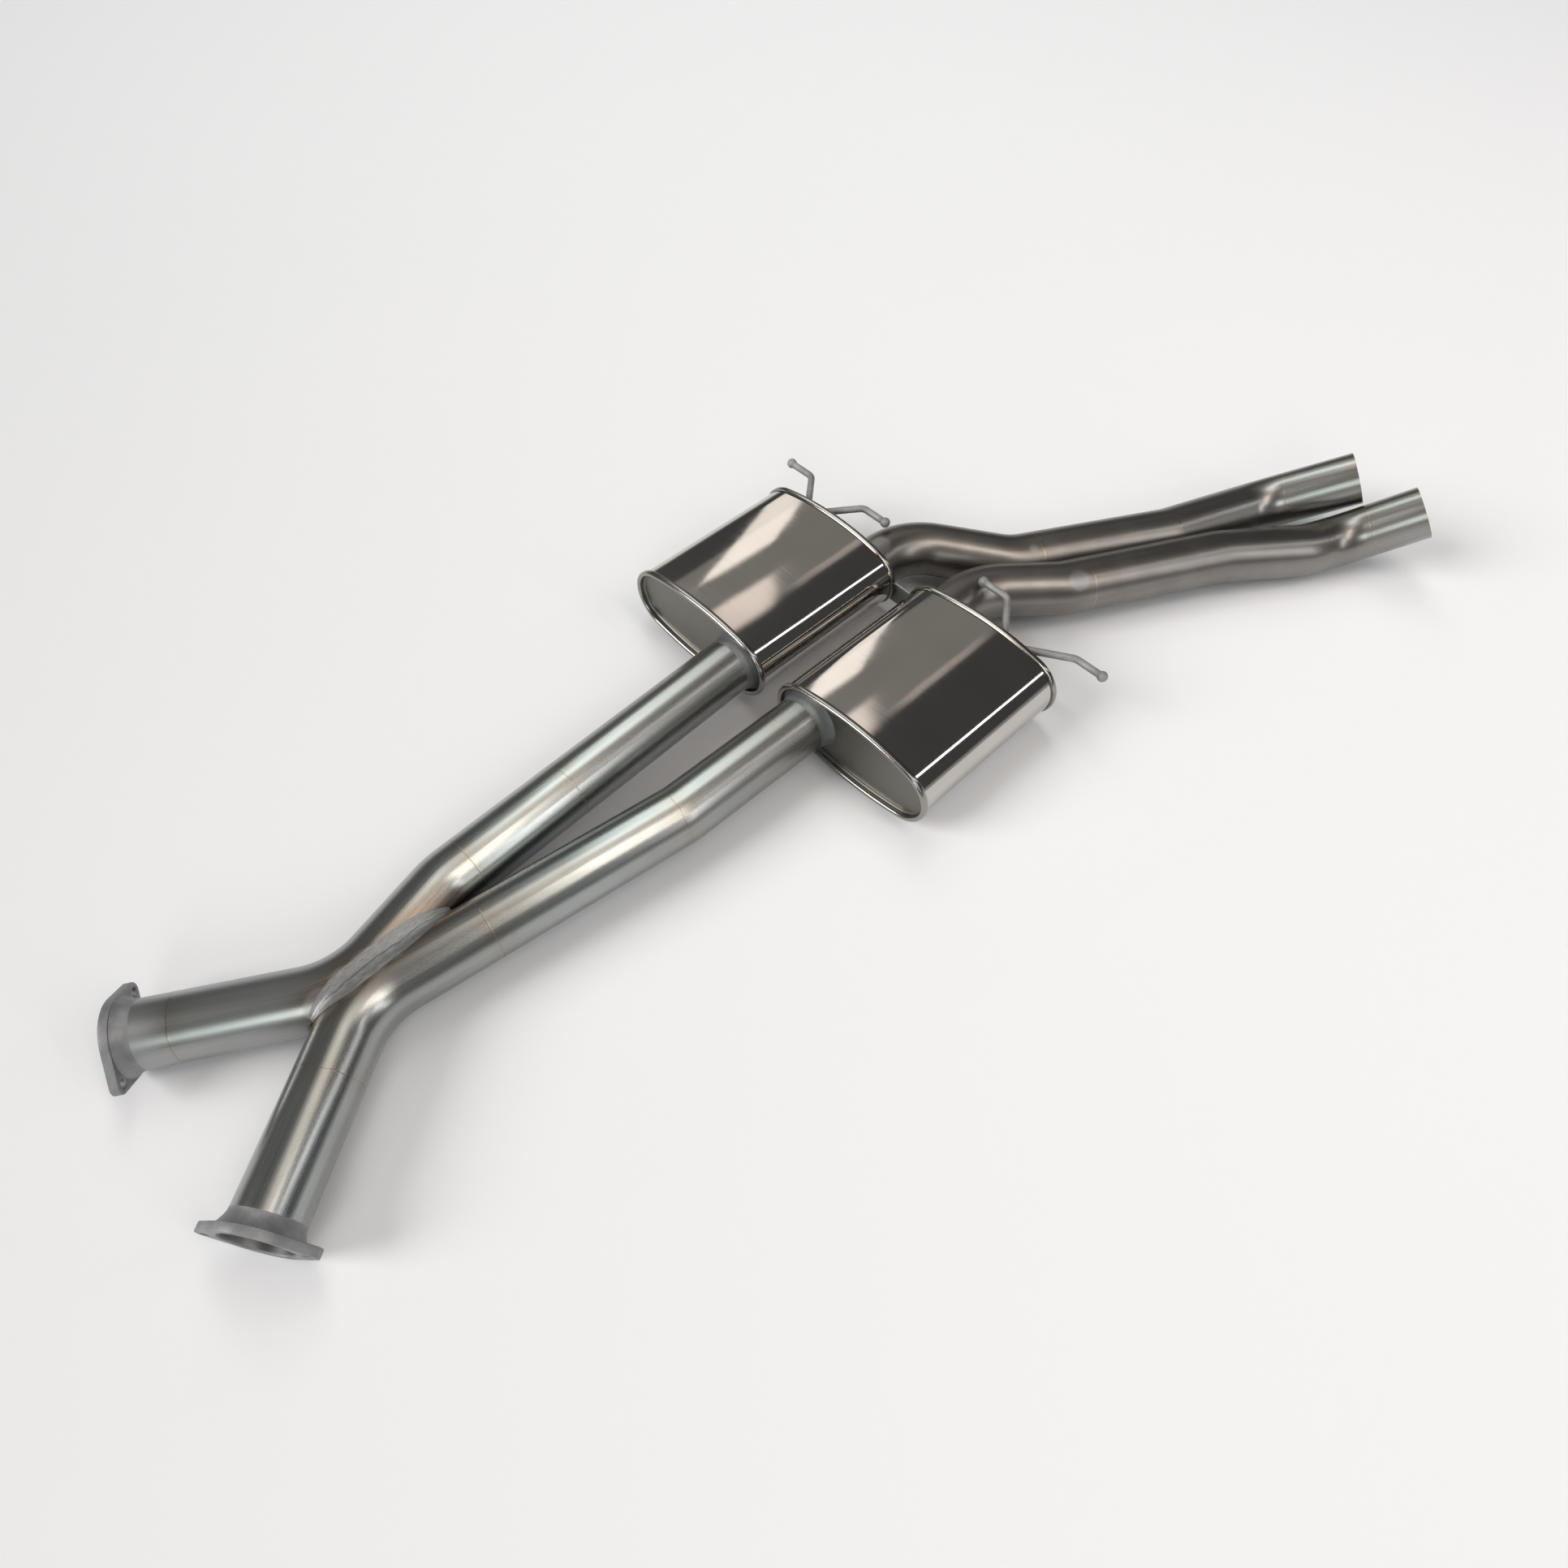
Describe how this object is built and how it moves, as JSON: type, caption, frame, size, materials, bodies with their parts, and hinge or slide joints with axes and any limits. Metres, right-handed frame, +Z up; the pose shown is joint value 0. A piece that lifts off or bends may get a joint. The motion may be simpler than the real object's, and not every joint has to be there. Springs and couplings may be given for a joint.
{
  "type": "racing exhaust system",
  "caption": "All-welded car exhaust with flanged inlets, an X crossover, oval mufflers side by side and bent, plain-cut tail pipes",
  "frame": {"origin": "bottom centre of the overall box, on the surface that it lies on", "axes": "+X runs rearwards along the car, from the inlet flanges to the tail pipes; +Y to the car's right; +Z up"},
  "size_m": [1.7992, 0.7532, 0.1397],
  "materials": {
    "tube": "satin drawn stainless tube with faint heat tint",
    "weld": "ground matte weld",
    "flange": "bead blasted",
    "end_cap": "matte pressed sheet",
    "shell": "mirror polished",
    "rod": "bead blasted",
    "core": "plain perforated sheet",
    "packing": "mineral wool"
  },
  "bodies": {
    "root": {"right_inlet_flange": "flange", "right_flange_weld": "weld", "right_inlet_pipe": "tube", "right_inlet_pipe_weld": "weld", "right_cross_bend": "tube", "right_cross_bend_weld": "weld", "right_mid_pipe": "tube", "right_mid_pipe_weld": "weld", "right_muffler_inlet_pipe": "tube", "right_muffler_inlet_weld": "weld", "right_muffler_front_cap": "end_cap", "right_muffler_shell": "shell", "right_muffler_rear_cap": "end_cap", "right_muffler_core": "core", "right_muffler_packing": "packing", "right_muffler_outlet_weld": "weld", "right_outer_hanger": "rod", "right_inner_hanger": "rod", "right_outlet_bend": "tube", "right_outlet_bend_weld": "weld", "right_rear_pipe": "tube", "right_rear_pipe_weld": "weld", "right_tail_bend": "tube", "right_tail_bend_weld": "weld", "right_tail_pipe": "tube", "left_inlet_flange": "flange", "left_flange_weld": "weld", "left_inlet_pipe": "tube", "left_inlet_pipe_weld": "weld", "left_cross_bend": "tube", "left_cross_bend_weld": "weld", "left_mid_pipe": "tube", "left_mid_pipe_weld": "weld", "left_mid_bend": "tube", "left_mid_bend_weld": "weld", "left_muffler_inlet_pipe": "tube", "left_muffler_inlet_weld": "weld", "left_muffler_front_cap": "end_cap", "left_muffler_shell": "shell", "left_muffler_rear_cap": "end_cap", "left_muffler_core": "core", "left_muffler_packing": "packing", "left_muffler_outlet_weld": "weld", "left_outer_hanger": "rod", "left_inner_hanger": "rod", "left_outlet_bend": "tube", "left_outlet_bend_weld": "weld", "left_rear_pipe": "tube", "left_rear_pipe_weld": "weld", "left_tail_bend": "tube", "left_tail_bend_weld": "weld", "left_tail_pipe": "tube", "cross_weld_top": "weld", "cross_weld_bottom": "weld", "muffler_brace": "rod"}
  },
  "joints": []
}
